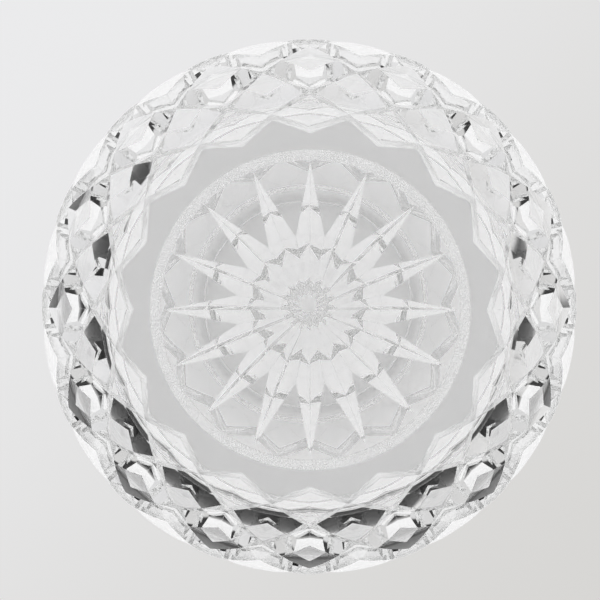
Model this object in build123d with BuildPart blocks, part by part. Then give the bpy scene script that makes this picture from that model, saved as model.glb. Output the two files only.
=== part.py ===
from build123d import *
import os
from math import cos, radians, sin, sqrt, tan

os.makedirs("parts", exist_ok=True)

# A globe vase (rose bowl) of clear cut crystal, blown and cut from one piece of glass.
# The origin is the middle of the ring it stands on, and +Z points up through the mouth.

# ---------------------------------------------------------------- driving dimensions
# Millimetres and degrees.
globe_radius = 85.0           # outside of the globe, over the uncut faces of the diamonds
foot_radius = 44.4            # outer edge of the ring that the vase stands on
height = 150.0                # foot to rim
wall = 5.0                    # glass between the outside and the hollow
mouth_radius = 37.4           # clear opening through the collar
floor_thickness = 13.0        # glass under the flat floor of the hollow
floor_fillet = 20.0           # sweep from that floor up into the wall
rim_round = 3.0               # fire-polished edges of the rim

repeats = 16                  # star rays, and columns of diamonds round the globe

ring_width = 2.7              # flat polished band of the foot
ring_step = 1.0               # how far the star's disc lies above the band
star_tip_radius = 41.2        # the rays stop just inside the band
star_half_width = 7.9         # half the width that a ray would have at the centre
star_angle = 110.0            # opening angle of the V of each ray

cut_tilt = 56.1               # lean of each lattice cut from the horizontal
cut_rows = 5                  # crossings from the middle of the globe to the end of a cut
cut_angle = 122.0             # opening angle of the V of each lattice cut
cut_depth = 2.7               # depth of a lattice cut, the same all along it
clearance = 2.0               # how far each cutter stands clear of the glass

# ---------------------------------------------------------------- what follows from them
hollow_radius = globe_radius - wall
globe_z = sqrt(globe_radius**2 - foot_radius**2)
collar_z = 2 * globe_z
throat_z = globe_z + sqrt(hollow_radius**2 - mouth_radius**2)
floor_radius = sqrt(hollow_radius**2 - (globe_z - floor_thickness) ** 2)

# A lattice cut follows a tilted circle round the middle of the globe. It starts and ends
# in a mitre with its neighbour, on an upright plane through the axis of the vase.
step_angle = 180 / repeats
end_azimuth = cut_rows * step_angle
valley_radius = globe_radius - cut_depth


def v_outline(bottom, opening, reach):
    """Corners of a V whose bottom is at X = bottom and which opens along +X by the reach."""
    half_width = reach * tan(radians(opening / 2))
    return (bottom, 0), (bottom + reach, half_width), (bottom + reach, -half_width)


# ---------------------------------------------------------------- cutter: one star ray
# A straight V that is deepest at the centre of the foot and runs out at the tip.
star_depth = star_half_width / tan(radians(star_angle / 2))
with BuildPart() as star_ray:
    for along, depth in ((0, star_depth), (star_tip_radius, 0)):
        section = Plane(
            origin=(along, 0, ring_step + depth),
            x_dir=(0, 0, -1),
            z_dir=(1, 0, 0),
        )
        with BuildSketch(section):
            Polygon(*v_outline(0, star_angle, depth + ring_step / 2), align=None)
    loft(ruled=True)

# ---------------------------------------------------------------- cutter: one lattice cross
# Two V cuts that lean opposite ways and cross on the equator, above and below it.
lean = Vector(0, cos(radians(cut_tilt)), sin(radians(cut_tilt)))
forward = Vector(1, 0, 0)
globe_centre = Vector(0, 0, globe_z)
circle_axis = forward.cross(lean)
with BuildPart() as lattice_cut:
    with BuildSketch(Plane(origin=globe_centre, x_dir=forward, z_dir=forward.cross(circle_axis))):
        Polygon(*v_outline(valley_radius, cut_angle, cut_depth + clearance), align=None)
    revolve(axis=Axis(globe_centre, circle_axis), revolution_arc=360)
    with BuildSketch():
        wedge_reach = 2 * globe_radius
        wedge_side = wedge_reach * tan(radians(end_azimuth))
        Polygon((0, 0), (wedge_reach, -wedge_side), (wedge_reach, wedge_side), align=None)
    extrude(amount=collar_z, mode=Mode.INTERSECT)
    mirror(about=Plane.XZ)

# ---------------------------------------------------------------- the vase
with BuildPart() as crystal_vase:
    # Blown blank: a thick globe with a flat foot, a short upright collar and a hollow.
    with BuildSketch(Plane.XZ):
        with BuildLine():
            Line((0, 0), (foot_radius, 0))
            ThreePointArc((foot_radius, 0), (globe_radius, globe_z), (foot_radius, collar_z))
            Line((foot_radius, collar_z), (foot_radius, height))
            Line((foot_radius, height), (mouth_radius, height))
            Line((mouth_radius, height), (mouth_radius, throat_z))
            ThreePointArc(
                (mouth_radius, throat_z),
                (hollow_radius, globe_z),
                (floor_radius, floor_thickness),
            )
            Line((floor_radius, floor_thickness), (0, floor_thickness))
            Line((0, floor_thickness), (0, 0))
        make_face()
    revolve(axis=Axis.Z)
    round_edges = crystal_vase.edges().filter_by(GeomType.CIRCLE)
    fillet(round_edges.filter_by_position(Axis.Z, floor_thickness, floor_thickness), floor_fillet)
    round_edges = crystal_vase.edges().filter_by(GeomType.CIRCLE)
    fillet(round_edges.filter_by_position(Axis.Z, height, height), rim_round)

    # Foot: a flat ring, with the star's disc set a little above it.
    Cylinder(
        radius=foot_radius - ring_width,
        height=ring_step,
        align=(Align.CENTER, Align.CENTER, Align.MIN),
        mode=Mode.SUBTRACT,
    )

    # Star of V cuts under the foot. One ray points along +Y.
    with PolarLocations(radius=0, count=repeats):
        add(star_ray.part, mode=Mode.SUBTRACT)

    # Diamond lattice round the globe. Its crossings on the equator lie between the rays.
    with PolarLocations(radius=0, count=repeats, start_angle=step_angle):
        add(lattice_cut.part, mode=Mode.SUBTRACT)

crystal_vase.part.label = "crystal_vase"
export_step(crystal_vase.part, "parts/crystal_vase.step")
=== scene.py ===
from math import acos, atan2, cos, pi, radians, sin, sqrt, tan

import bmesh
import bpy
import numpy as np
from mathutils import Matrix, Vector


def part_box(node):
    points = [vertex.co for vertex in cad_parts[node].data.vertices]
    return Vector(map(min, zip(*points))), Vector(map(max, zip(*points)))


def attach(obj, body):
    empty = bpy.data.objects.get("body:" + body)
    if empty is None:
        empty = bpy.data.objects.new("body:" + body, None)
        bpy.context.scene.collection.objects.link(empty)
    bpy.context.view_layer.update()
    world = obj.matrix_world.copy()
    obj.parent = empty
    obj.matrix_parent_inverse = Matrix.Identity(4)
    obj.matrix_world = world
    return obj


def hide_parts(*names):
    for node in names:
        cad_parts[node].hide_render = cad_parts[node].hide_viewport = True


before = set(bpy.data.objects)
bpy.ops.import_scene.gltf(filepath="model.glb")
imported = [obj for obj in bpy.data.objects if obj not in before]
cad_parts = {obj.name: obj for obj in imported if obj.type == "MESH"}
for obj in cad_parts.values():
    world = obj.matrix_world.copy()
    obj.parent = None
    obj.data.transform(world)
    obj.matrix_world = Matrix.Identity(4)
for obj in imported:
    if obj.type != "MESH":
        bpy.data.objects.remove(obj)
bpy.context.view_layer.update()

low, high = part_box("crystal_vase")

# ------------------------------------------------------------------ dimensions of the vase
DESIGN_HEIGHT = 150.0           # in millimetres
# One millimetre of the design, in scene units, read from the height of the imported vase.
MM = (high[2] - low[2]) / DESIGN_HEIGHT

GLOBE_RADIUS = 85.0 * MM        # over the uncut faces of the diamonds
FOOT_RADIUS = 44.4 * MM         # outer edge of the ring it stands on
COLLAR_RADIUS = FOOT_RADIUS     # the same circle, at the top of the globe
HEIGHT = DESIGN_HEIGHT * MM
WALL = 5.0 * MM
MOUTH_RADIUS = 37.4 * MM
FLOOR = 13.0 * MM               # height of the flat floor of the hollow
FLOOR_FILLET = 20.0 * MM
RIM_ROUND = 3.0 * MM
RING_WIDTH = 2.7 * MM
RING_STEP = 1.0 * MM            # from the foot ring up to the disc with the star
STAR_TIP = 41.2 * MM
STAR_HALF_WIDTH = 7.9 * MM      # of one ray, at the middle of the star
STAR_ANGLE = radians(110)
REPEATS = 16                    # rays of the star, and diamonds in a row
CUT_TILT = radians(56.1)
CUT_ROWS = 5                    # levels of crossings from the middle to an end of the lattice
CUT_ANGLE = radians(122)
CUT_DEPTH = 2.7 * MM

GLOBE_Z = sqrt(GLOBE_RADIUS**2 - FOOT_RADIUS**2)
HOLLOW_RADIUS = GLOBE_RADIUS - WALL
VALLEY_RADIUS = GLOBE_RADIUS - CUT_DEPTH
CENTRE = np.array([0, 0, GLOBE_Z])
STEP = pi / REPEATS             # azimuth from one column of crossings to the next

# ------------------------------------------------------------------ fineness of the mesh
SEGMENTS = 12                   # pieces along each side of a diamond or a ray
PLAIN_ROWS = 6
FLOOR_PIECES = 6
FILLET_PIECES = 12
BOWL_PIECES = 48
NECK_PIECES = 2
RIM_PIECES = 6
WELD = 0.002 * MM
BISECTIONS = 50
MITRE_REACH = 1.2               # how far past its end a cut is searched for its mitre

# ------------------------------------------------------------------ crystal
GLASS_IOR = 1.55
GLASS_COLOR = (0.60, 0.61, 0.60)
GLASS_DENSITY = 2.5
EDGE_ROUND = 0.14 * MM
EDGE_SAMPLES = 4
WAVE_SCALE = 55
WAVE_DETAIL = 1
WAVE_DEPTH = 0.05 * MM
GROUND_FADE = (0.30 * MM, 0.10 * MM)    # heights where the ground ring starts and is full
GROUND_CLEAR = 0.8
GROUND_ROUGHNESS = 0.3
SCRATCH_SCALE = 2500
SCRATCH_DETAIL = 3
SCRATCH_RANGE = (0.0, 0.7)

# ------------------------------------------------------------------ stage and light
SHEET_ROUGHNESS = 0.9
SHEET_SPECULAR = 0.2
FLOOR_REACH = 12.0
FLOOR_SIDES = 4
FLOOR_COLOR = (0.80, 0.80, 0.80)
FLOOR_GLOW = 0.30
PAPER_RADIUS = 0.20
PAPER_SIDES = 64
PAPER_GAP = 0.4 * MM            # from the rim to the sheet over the mouth
PAPER_COLOR = (0.74, 0.74, 0.74)
PAPER_GLOW = 0.33

# How bright the room is, from straight down (-1) to straight up (1).
LIGHT_PROFILE = (
    (-1.0, 0.70),
    (-0.78, 0.78),
    (-0.58, 1.12),
    (-0.35, 1.08),
    (-0.18, 0.76),
    (0.1, 0.74),
    (0.6, 0.82),
    (1.0, 0.84),
)
KEY_DIRECTION = (0.62, 0.62, -0.48)
KEY_FADE = (-1, 1)
KEY_SIDE = (1.06, 1.06, 1.07)
DIM_SIDE = (0.95, 0.945, 0.94)
RING_COLOR = (0.003, 0.003, 0.003)
RING_BELOW = (0.26, 0.29)       # heights over which the dark ring starts
RING_ABOVE = (0.70, 0.60)       # heights over which it ends
RING_DIRECTION = (0.25, -0.97, 0)
RING_FADE = (0.02, 0.12)
# The wall that only the camera sees is painted lighter to one side as painted light and darker
# to the other as painted shade; these set that side, the fade and the two colours.
WALL_PAINTED_LIGHT_DIRECTION = (0.7, 0.7, 0)
WALL_PAINTED_LIGHT_FADE = (-0.3, 0.25)
WALL_PAINTED_LIGHT = (0.862, 0.862, 0.870)
WALL_PAINTED_SHADE = (0.735, 0.728, 0.715)

MAX_BOUNCES = 32
TRANSPARENT_BOUNCES = 16
VIEW_GAMMA = 0.8

# ------------------------------------------------------------------ camera
SENSOR_WIDTH = 36
LENS = 97.0
CLIP_START = 0.01
CAMERA_PLACE = (2.5 * MM, 7 * MM, GLOBE_Z - 521 * MM)
CAMERA_TARGET = (2.9 * MM, 2.1 * MM, GLOBE_Z)


# ------------------------------------------------------------------ mesh collector
class Shell:
    """Faces with their own exact normals, welded into one closed mesh at the end."""

    def __init__(self):
        self.points = []
        self.normals = []
        self.faces = []

    def quads(self, points, normals):
        """A grid of points (rows, columns, 3) with a normal for each."""
        rows, columns = points.shape[:2]
        first = len(self.points)
        self.points.extend(points.reshape(-1, 3))
        self.normals.extend(np.broadcast_to(normals, points.shape).reshape(-1, 3))
        for row in range(rows - 1):
            for column in range(columns - 1):
                a = first + row * columns + column
                self.faces.append((a, a + 1, a + columns + 1, a + columns))

    def facing_out(self):
        """The faces, each turned so that its own side agrees with its normals."""
        faces = []
        for face in self.faces:
            corners = [self.points[i] for i in face]
            turn = np.cross(corners[2] - corners[0], corners[3] - corners[1])
            outward = sum(self.normals[i] for i in face)
            faces.append(face if turn @ outward > 0 else face[::-1])
        return faces

    def build(self, name):
        mesh = bpy.data.meshes.new(name)
        mesh.from_pydata(np.array(self.points).tolist(), [], self.facing_out())
        shade = mesh.attributes.new("shade", "FLOAT_VECTOR", "CORNER")
        order = np.array([loop.vertex_index for loop in mesh.loops])
        normals = np.array(self.normals)[order]
        shade.data.foreach_set("vector", normals.astype(np.float32).ravel())
        weld = bmesh.new()
        weld.from_mesh(mesh)
        bmesh.ops.remove_doubles(weld, verts=weld.verts, dist=WELD)
        bmesh.ops.dissolve_degenerate(weld, edges=weld.edges, dist=WELD)
        open_edges = sum(len(edge.link_faces) != 2 for edge in weld.edges)
        if open_edges:
            print(name, "is not closed:", open_edges, "open edges")
        weld.to_mesh(mesh)
        weld.free()
        exact = np.zeros(len(mesh.loops) * 3, np.float32)
        mesh.attributes["shade"].data.foreach_get("vector", exact)
        mesh.attributes.remove(mesh.attributes["shade"])
        mesh.shade_smooth()
        mesh.normals_split_custom_set(exact.reshape(-1, 3).tolist())
        return placed(name, mesh)


def placed(name, data):
    """A new object in the scene."""
    piece = bpy.data.objects.new(name, data)
    bpy.context.scene.collection.objects.link(piece)
    return piece


def unit(vectors):
    return vectors / np.linalg.norm(vectors, axis=-1, keepdims=True)


def turned(points, angle):
    """Points or normals rotated about the axis of the vase."""
    c, s = cos(angle), sin(angle)
    return points @ np.array([[c, s, 0], [-s, c, 0], [0, 0, 1]])


def blend(a, b, amount):
    return a + (b - a) * amount


def sector(radius, z, start, stop):
    """Points on one repeat's share of a circle about the axis."""
    azimuth = np.linspace(start, stop, 2 * SEGMENTS + 1)
    heights = np.full(azimuth.shape, z)
    return np.stack([radius * np.cos(azimuth), radius * np.sin(azimuth), heights], axis=-1)


def bisected(near, far, passed):
    """The place between near and far from which passed(place) holds."""
    for _ in range(BISECTIONS):
        middle = (near + far) / 2
        if passed(middle):
            far = middle
        else:
            near = middle
    return (near + far) / 2


# ------------------------------------------------------------------ lattice cuts
def level_azimuth(level):
    return level * STEP


def column_azimuths(level):
    """The azimuths of the diamonds of one level."""
    return [level_azimuth(level) + 2 * STEP * column for column in range(REPEATS)]


def along_at(level):
    """Angle along a cut, seen from the globe's middle, of its crossing at a level."""
    azimuth = level_azimuth(level)
    return atan2(sin(azimuth), cos(azimuth) * cos(CUT_TILT))


class Cut:
    """One V cut: its plane leans from the vertical, up and to the right or the left."""

    def __init__(self, azimuth, lean):
        self.forward = np.array([cos(azimuth), sin(azimuth), 0])
        self.side = np.array([-sin(azimuth), cos(azimuth), 0])
        self.up = lean * cos(CUT_TILT) * self.side + np.array([0, 0, sin(CUT_TILT)])
        self.normal = np.cross(self.forward, self.up)

    def radial(self, along):
        along = np.asarray(along, float)[..., None]
        return np.cos(along) * self.forward + np.sin(along) * self.up

    def valley(self, along):
        return VALLEY_RADIUS * self.radial(along)

    def edge(self, along, side):
        """Where the wall on one side of the V meets the surface of the globe."""
        half = CUT_ANGLE / 2
        reach = VALLEY_RADIUS * cos(half)
        rise = sqrt(reach**2 + GLOBE_RADIUS**2 - VALLEY_RADIUS**2) - reach
        deep = VALLEY_RADIUS + rise * cos(half)
        return deep * self.radial(along) + side * rise * sin(half) * self.normal

    def wall_normal(self, along, side):
        half = CUT_ANGLE / 2
        return sin(half) * self.radial(along) - side * cos(half) * self.normal

    def excess(self, point, side):
        """Above zero where a point stands clear of the V on the given side."""
        distance = sqrt((point @ self.up) ** 2 + (point @ self.forward) ** 2)
        return side * (point @ self.normal) - (distance - VALLEY_RADIUS) * tan(CUT_ANGLE / 2)

    def mitre(self, level, side):
        """Where along this cut its edge reaches the upright plane of its own end."""
        azimuth = level_azimuth(abs(level))
        turn = 1 if level * self.up @ self.side > 0 else -1
        plane = turn * cos(azimuth) * self.side - sin(azimuth) * self.forward
        end = along_at(level) * MITRE_REACH
        return bisected(0.0, end, lambda along: self.edge(along, side) @ plane > 0)

    def corner(self, side, from_level, to_level, other, other_side):
        """Where along this cut its edge comes out of the other cut, near from_level."""
        if abs(from_level) == CUT_ROWS:
            return self.mitre(from_level, side)
        near = along_at(from_level)
        far = (near + along_at(to_level)) / 2
        return bisected(
            near, far, lambda along: other.excess(self.edge(along, side), other_side) > 0
        )


def side_of(cut, level):
    """On which side of the cut's plane the middle of the cell at azimuth 0 lies."""
    latitude = np.arctan(tan(CUT_TILT) * sin(level_azimuth(level)))
    middle = np.array([cos(latitude), 0, sin(latitude)])
    return 1.0 if middle @ cut.normal > 0 else -1.0


def side_beyond(cut, end):
    """On which side of the cut's plane the pole at that end lies."""
    return 1.0 if end * cut.normal[2] > 0 else -1.0


def strip(shell, cut, side, levels, corners, rotation):
    """The wall of a V along one side of a diamond. Returns its upper edge."""
    share = np.linspace(0, 1, SEGMENTS + 1)
    bottom_along = blend(along_at(levels[0]), along_at(levels[1]), share)
    top_along = blend(corners[0], corners[1], share)
    bottom = cut.valley(bottom_along)
    top = cut.edge(top_along, side)
    normals = np.stack([cut.wall_normal(bottom_along, side), cut.wall_normal(top_along, side)])
    points = np.stack([bottom, top])
    for angle in rotation:
        shell.quads(turned(points, angle) + CENTRE, turned(normals, angle))
    return top


def globe_faces(shell, directions, rotation):
    """A patch of the globe's own surface, given by its directions from the middle."""
    for angle in rotation:
        normals = turned(directions, angle)
        shell.quads(normals * GLOBE_RADIUS + CENTRE, normals)


def lattice_row(shell, level):
    """All diamonds of one level: four walls round a face of the globe's own surface."""
    rotation = column_azimuths(level)
    cuts = {
        "lower_right": Cut(-level_azimuth(level - 1), 1),
        "lower_left": Cut(level_azimuth(level - 1), -1),
        "upper_right": Cut(level_azimuth(level + 1), -1),
        "upper_left": Cut(-level_azimuth(level + 1), 1),
    }
    side = {name: side_of(cut, level) for name, cut in cuts.items()}
    edges = {}
    for name, start, stop, first, last in (
        ("lower_right", level - 1, level, "lower_left", "upper_right"),
        ("lower_left", level - 1, level, "lower_right", "upper_left"),
        ("upper_right", level, level + 1, "lower_right", "upper_left"),
        ("upper_left", level, level + 1, "lower_left", "upper_right"),
    ):
        cut = cuts[name]
        corners = (
            cut.corner(side[name], start, stop, cuts[first], side[first]),
            cut.corner(side[name], stop, start, cuts[last], side[last]),
        )
        edges[name] = strip(shell, cut, side[name], (start, stop), corners, rotation)
    p = np.linspace(0, 1, SEGMENTS + 1)[None, :, None]
    q = np.linspace(0, 1, SEGMENTS + 1)[:, None, None]
    across = blend(edges["lower_right"][None], edges["upper_left"][None], q)
    upward = blend(edges["lower_left"][:, None], edges["upper_right"][:, None], p)
    low_row = blend(edges["lower_right"][0], edges["lower_right"][-1], p)
    high_row = blend(edges["upper_left"][0], edges["upper_left"][-1], p)
    globe_faces(shell, unit(across + upward - blend(low_row, high_row, q)), rotation)


def plain_zone(shell, end):
    """Uncut glass between the tips of the lattice and the foot (-1) or the collar (+1)."""
    level = end * CUT_ROWS
    inner_level = level - end
    rotation = column_azimuths(level)
    right = Cut(-end * level_azimuth(inner_level), end)
    left = Cut(end * level_azimuth(inner_level), -end)
    sides = {}
    for name, cut, other in (("right", right, left), ("left", left, right)):
        own = side_beyond(cut, end)
        corners = (
            cut.corner(own, inner_level, level, other, side_beyond(other, end)),
            cut.mitre(level, own),
        )
        sides[name] = strip(shell, cut, own, (inner_level, level), corners, rotation)
    zigzag = np.concatenate([sides["left"][::-1], sides["right"][1:]])
    if zigzag[0, 1] > 0:
        zigzag = zigzag[::-1]
    circle = sector(FOOT_RADIUS, end * GLOBE_Z, -STEP, STEP)
    rows = np.linspace(0, 1, PLAIN_ROWS + 1)[:, None, None]
    globe_faces(shell, unit(blend(zigzag[None], circle[None], rows)), rotation)


# ------------------------------------------------------------------ turned surfaces
def lathe(shell, profile, normals):
    """A profile of (radius, height) turned about the axis, with normals in its plane."""
    count = 2 * SEGMENTS * REPEATS
    azimuth = np.linspace(0, 2 * pi, count + 1)
    ring = np.stack([np.cos(azimuth), np.sin(azimuth), np.zeros(count + 1)], axis=-1)
    up = np.array([0, 0, 1.0])
    profile = np.asarray(profile, float)
    normals = np.asarray(normals, float)
    points = profile[:, None, :1] * ring[None] + profile[:, None, 1:] * up
    facing = normals[:, None, :1] * ring[None] + normals[:, None, 1:] * up
    shell.quads(points, facing)


def arc(centre, radius, start, stop, count, outward=1):
    """Profile points and normals along an arc, angles from the horizontal."""
    angle = np.linspace(start, stop, count + 1)
    direction = np.stack([np.cos(angle), np.sin(angle)], axis=-1)
    return np.array(centre) + radius * direction, outward * direction


def flat(start, stop, normal, count=1):
    """Profile points and normals along a straight line."""
    share = np.linspace(0, 1, count + 1)[:, None]
    return blend(np.array(start), np.array(stop), share), np.tile(normal, (count + 1, 1))


def hollow(shell):
    """The floor, its fillet, the round wall and the straight neck of the inside."""
    fillet_rise = GLOBE_Z - FLOOR - FLOOR_FILLET
    fillet_reach = HOLLOW_RADIUS - FLOOR_FILLET
    fillet_radius = sqrt(fillet_reach**2 - fillet_rise**2)
    fillet_centre = (fillet_radius, FLOOR + FLOOR_FILLET)
    meet = -acos(fillet_radius / fillet_reach)
    throat = acos(MOUTH_RADIUS / HOLLOW_RADIUS)
    throat_z = GLOBE_Z + HOLLOW_RADIUS * sin(throat)
    neck_top = (MOUTH_RADIUS, HEIGHT - RIM_ROUND)
    lathe(shell, *flat((0, FLOOR), (fillet_radius, FLOOR), (0, 1), FLOOR_PIECES))
    lathe(shell, *arc(fillet_centre, FLOOR_FILLET, -pi / 2, meet, FILLET_PIECES, -1))
    lathe(shell, *arc((0, GLOBE_Z), HOLLOW_RADIUS, meet, throat, BOWL_PIECES, -1))
    lathe(shell, *flat((MOUTH_RADIUS, throat_z), neck_top, (-1, 0), NECK_PIECES))


def collar(shell):
    """The rounded rim, and the short straight outside below it."""
    shoulder = HEIGHT - RIM_ROUND
    inner = MOUTH_RADIUS + RIM_ROUND
    outer = COLLAR_RADIUS - RIM_ROUND
    lathe(shell, *arc((inner, shoulder), RIM_ROUND, pi, pi / 2, RIM_PIECES))
    lathe(shell, *flat((inner, HEIGHT), (outer, HEIGHT), (0, 1)))
    lathe(shell, *arc((outer, shoulder), RIM_ROUND, pi / 2, 0, RIM_PIECES))
    lathe(shell, *flat((COLLAR_RADIUS, shoulder), (COLLAR_RADIUS, 2 * GLOBE_Z), (1, 0)))


def foot(shell):
    """The ground ring that the vase stands on, and the disc with the star inside it."""
    ring_inside = FOOT_RADIUS - RING_WIDTH
    lathe(shell, *flat((FOOT_RADIUS, 0), (ring_inside, 0), (0, -1)))
    lathe(shell, *flat((ring_inside, 0), (ring_inside, RING_STEP), (-1, 0)))
    star(shell, ring_inside)


def star(shell, disc_radius):
    """V cuts from the middle of the foot to points just inside the ring."""
    depth = STAR_HALF_WIDTH / tan(STAR_ANGLE / 2)
    node_x = STAR_HALF_WIDTH / (tan(STEP) + STAR_HALF_WIDTH / STAR_TIP)
    middle = np.array([0, 0, RING_STEP + depth])
    tip = np.array([STAR_TIP, 0, RING_STEP])
    next_tip = turned(tip, 2 * STEP)
    node = np.array([node_x, node_x * tan(STEP), RING_STEP])
    share = np.linspace(0, 1, SEGMENTS + 1)[:, None]
    near_edge = blend(tip, node, share)
    far_edge = blend(next_tip, node, share)
    near_valley = blend(tip, middle, share)
    far_valley = blend(next_tip, middle, share)
    rim = sector(disc_radius, RING_STEP, 0, 2 * STEP)
    outline = np.concatenate([near_edge, far_edge[::-1][1:]])
    down = np.array([0, 0, -1.0])
    for column in range(REPEATS):
        angle = 2 * STEP * column
        shell.quads(turned(np.stack([outline, rim]), angle), down)
        for edge, valley in ((near_edge, near_valley), (far_edge, far_valley)):
            face = np.cross(valley[-1] - valley[0], edge[-1] - edge[0])
            face = unit(face if face[2] < 0 else -face)
            shell.quads(turned(np.stack([edge, valley]), angle), turned(face, angle))


def crystal():
    """The whole vase as one closed mesh."""
    shell = Shell()
    for level in range(1 - CUT_ROWS, CUT_ROWS):
        lattice_row(shell, level)
    plain_zone(shell, -1)
    plain_zone(shell, 1)
    hollow(shell)
    collar(shell)
    foot(shell)
    return shell.build("cut_crystal")


# ------------------------------------------------------------------ node graphs
class Graph:
    """The node tree of a material or the world, with short calls for its maths."""

    def __init__(self, owner):
        owner.use_nodes = True
        self.nodes = owner.node_tree.nodes
        self.links = owner.node_tree.links

    def node(self, kind, **settings):
        node = self.nodes.new(kind)
        for name, value in settings.items():
            setattr(node, name, value)
        return node

    def mapped(self, value, low_end, high_end):
        """A number that goes from low_end to high_end while the value goes from 0 to 1."""
        node = self.node("ShaderNodeMapRange")
        self.links.new(value, node.inputs["Value"])
        node.inputs["To Min"].default_value = low_end
        node.inputs["To Max"].default_value = high_end
        return node.outputs["Result"]

    def ramp(self, value, start, stop):
        """A number that goes softly from 0 to 1 while the value goes from start to stop."""
        node = self.node("ShaderNodeMapRange", interpolation_type="SMOOTHSTEP")
        self.links.new(value, node.inputs["Value"])
        node.inputs["From Min"].default_value = start
        node.inputs["From Max"].default_value = stop
        return node.outputs["Result"]

    def times(self, first, second):
        node = self.node("ShaderNodeMath", operation="MULTIPLY")
        self.links.new(first, node.inputs[0])
        self.links.new(second, node.inputs[1])
        return node.outputs["Value"]

    def towards(self, direction, target):
        """How far a direction points to a target direction, as their dot product."""
        node = self.node("ShaderNodeVectorMath", operation="DOT_PRODUCT")
        self.links.new(direction, node.inputs[0])
        node.inputs[1].default_value = target
        return node.outputs["Value"]

    def height(self, place):
        """The Z of a place or a direction."""
        node = self.node("ShaderNodeSeparateXYZ")
        self.links.new(place, node.inputs["Vector"])
        return node.outputs["Z"]

    def noise(self, place, scale, detail):
        node = self.node("ShaderNodeTexNoise")
        node.inputs["Scale"].default_value = scale
        node.inputs["Detail"].default_value = detail
        self.links.new(place, node.inputs["Vector"])
        return node.outputs["Fac"]

    def mixed(self, amount, first, second):
        """Two colours, each a socket or a tuple, mixed by an amount from 0 to 1."""
        node = self.node("ShaderNodeMix", data_type="RGBA")
        self.links.new(amount, node.inputs["Factor"])
        for name, color in (("A", first), ("B", second)):
            socket = next(i for i in node.inputs if i.name == name and i.type == "RGBA")
            if isinstance(color, tuple):
                socket.default_value = (*color, 1)
            else:
                self.links.new(color, socket)
        return next(o for o in node.outputs if o.type == "RGBA")


# ------------------------------------------------------------------ crystal material
def glass_material():
    """Clear lead crystal: rounded edges, a faint waviness and a ground foot ring."""
    material = bpy.data.materials.new("lead_crystal")
    graph = Graph(material)
    shader = graph.nodes["Principled BSDF"]
    shader.inputs["Base Color"].default_value = (1, 1, 1, 1)
    shader.inputs["IOR"].default_value = GLASS_IOR
    place = graph.node("ShaderNodeTexCoord").outputs["Object"]
    ground = graph.ramp(graph.height(place), *GROUND_FADE)
    clear = graph.mapped(ground, 1.0, GROUND_CLEAR)
    graph.links.new(clear, shader.inputs["Transmission Weight"])
    scratches = graph.noise(place, SCRATCH_SCALE, SCRATCH_DETAIL)
    worn = graph.times(ground, graph.ramp(scratches, *SCRATCH_RANGE))
    graph.links.new(graph.mapped(worn, 0.0, GROUND_ROUGHNESS), shader.inputs["Roughness"])
    rounded = graph.node("ShaderNodeBevel", samples=EDGE_SAMPLES)
    rounded.inputs["Radius"].default_value = EDGE_ROUND
    bump = graph.node("ShaderNodeBump")
    bump.inputs["Distance"].default_value = WAVE_DEPTH
    graph.links.new(graph.noise(place, WAVE_SCALE, WAVE_DETAIL), bump.inputs["Height"])
    graph.links.new(rounded.outputs["Normal"], bump.inputs["Normal"])
    graph.links.new(bump.outputs["Normal"], shader.inputs["Normal"])
    tint = graph.node("ShaderNodeVolumeAbsorption")
    tint.inputs["Color"].default_value = (*GLASS_COLOR, 1)
    tint.inputs["Density"].default_value = GLASS_DENSITY
    graph.links.new(tint.outputs["Volume"], graph.nodes["Material Output"].inputs["Volume"])
    return material


# ------------------------------------------------------------------ stage
def sheet_material(name, color, glow):
    """Matt paper that is clear from its back."""
    material = bpy.data.materials.new(name)
    graph = Graph(material)
    shader = graph.nodes["Principled BSDF"]
    shader.inputs["Base Color"].default_value = (*color, 1)
    shader.inputs["Roughness"].default_value = SHEET_ROUGHNESS
    shader.inputs["Specular IOR Level"].default_value = SHEET_SPECULAR
    shader.inputs["Emission Color"].default_value = (1, 1, 1, 1)
    shader.inputs["Emission Strength"].default_value = glow
    clear = graph.node("ShaderNodeBsdfTransparent")
    geometry = graph.node("ShaderNodeNewGeometry")
    mix = graph.node("ShaderNodeMixShader")
    graph.links.new(geometry.outputs["Backfacing"], mix.inputs["Fac"])
    graph.links.new(shader.outputs["BSDF"], mix.inputs[1])
    graph.links.new(clear.outputs["BSDF"], mix.inputs[2])
    graph.links.new(mix.outputs["Shader"], graph.nodes["Material Output"].inputs["Surface"])
    return material


def sheet(name, z, radius, sides, facing):
    """A flat sheet with so many sides, facing up (1) or down (-1)."""
    angles = [2 * pi * (side + 0.5) / sides for side in range(sides)][::facing]
    corners = [(radius * cos(angle), radius * sin(angle), z) for angle in angles]
    mesh = bpy.data.meshes.new(name)
    mesh.from_pydata(corners, [], [tuple(range(sides))])
    piece = placed(name, mesh)
    piece.visible_shadow = False
    piece.visible_diffuse = False
    return piece


def stage():
    """The floor under the vase, and the sheet over its mouth that only the glass sees."""
    floor = sheet("floor", 0, FLOOR_REACH, FLOOR_SIDES, 1)
    floor.data.materials.append(sheet_material("floor_paper", FLOOR_COLOR, FLOOR_GLOW))
    paper = sheet("paper", HEIGHT + PAPER_GAP, PAPER_RADIUS, PAPER_SIDES, -1)
    paper.data.materials.append(sheet_material("white_paper", PAPER_COLOR, PAPER_GLOW))
    paper.visible_camera = False


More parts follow.
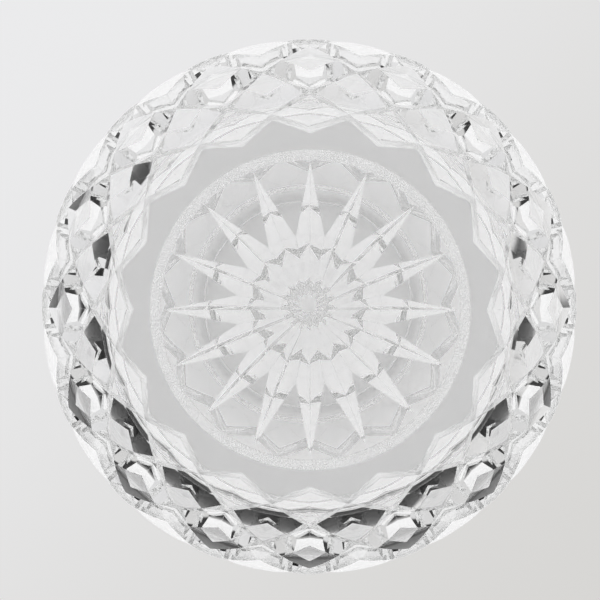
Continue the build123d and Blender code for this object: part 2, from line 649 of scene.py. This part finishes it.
# ------------------------------------------------------------------ light
def room_light(graph, direction):
    """Soft light that depends on the height, a little stronger from the key side."""
    # The colour ramp runs from 0, straight down, to 1, straight up.
    height = graph.node("ShaderNodeMapRange")
    height.inputs["From Min"].default_value = -1
    graph.links.new(graph.height(direction), height.inputs["Value"])
    profile = graph.node("ShaderNodeValToRGB")
    graph.links.new(height.outputs["Result"], profile.inputs["Fac"])
    stops = profile.color_ramp.elements
    while len(stops) < len(LIGHT_PROFILE):
        stops.new(0.5)
    for stop, (z, level) in zip(stops, LIGHT_PROFILE):
        stop.position = (z + 1) / 2
        stop.color = (level, level, level, 1)
    key = graph.ramp(graph.towards(direction, KEY_DIRECTION), *KEY_FADE)
    light = graph.node("ShaderNodeVectorMath", operation="MULTIPLY")
    graph.links.new(graph.mixed(key, DIM_SIDE, KEY_SIDE), light.inputs[0])
    graph.links.new(profile.outputs["Color"], light.inputs[1])
    return light.outputs["Vector"]


def dark_ring(graph, direction):
    """Where the room is dark: a band above the horizon, on the side of RING_DIRECTION."""
    z = graph.height(direction)
    band = graph.times(graph.ramp(z, *RING_BELOW), graph.ramp(z, *RING_ABOVE))
    around = graph.ramp(graph.towards(direction, RING_DIRECTION), *RING_FADE)
    return graph.times(band, around)


def studio():
    """The lit room that the glass sees, and the near-white wall that the camera sees, painted
    lighter on one side and darker on the other: painted light and painted shade.
    """
    world = bpy.data.worlds.new("studio")
    bpy.context.scene.world = world
    graph = Graph(world)
    direction = graph.node("ShaderNodeTexCoord").outputs["Generated"]
    light = graph.mixed(dark_ring(graph, direction), room_light(graph, direction), RING_COLOR)
    # Painted light and painted shade on the wall that the camera sees: lighter towards one
    # side, darker away from it.
    painted_light = graph.ramp(graph.towards(direction, WALL_PAINTED_LIGHT_DIRECTION), *WALL_PAINTED_LIGHT_FADE)
    wall = graph.mixed(painted_light, WALL_PAINTED_SHADE, WALL_PAINTED_LIGHT)
    paths = graph.node("ShaderNodeLightPath")
    shown = graph.mixed(paths.outputs["Is Camera Ray"], light, wall)
    graph.links.new(shown, graph.nodes["Background"].inputs["Color"])


def light_paths_and_colour():
    """Enough bounces for clear cut glass, and the plain view transform."""
    scene = bpy.context.scene
    scene.cycles.max_bounces = MAX_BOUNCES
    scene.cycles.glossy_bounces = MAX_BOUNCES
    scene.cycles.transmission_bounces = MAX_BOUNCES
    scene.cycles.transparent_max_bounces = TRANSPARENT_BOUNCES
    scene.view_settings.view_transform = "Standard"
    scene.view_settings.gamma = VIEW_GAMMA


# ------------------------------------------------------------------ camera
def camera_below():
    """The camera looks straight up at the foot, with +Y at the top of its view."""
    data = bpy.data.cameras.new("camera")
    data.sensor_width = SENSOR_WIDTH
    data.lens = LENS
    data.clip_start = CLIP_START
    camera = placed("camera", data)
    bpy.context.scene.camera = camera
    camera.location = CAMERA_PLACE
    look = (Vector(CAMERA_TARGET) - camera.location).normalized()
    right = look.cross(Vector((0, 1, 0))).normalized()
    top = right.cross(look)
    camera.rotation_euler = Matrix((right, top, -look)).transposed().to_euler()


# ------------------------------------------------------------------ the scene
vase = crystal()
vase.data.materials.append(glass_material())
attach(vase, "root")
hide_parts("crystal_vase")

stage()
studio()
light_paths_and_colour()
camera_below()
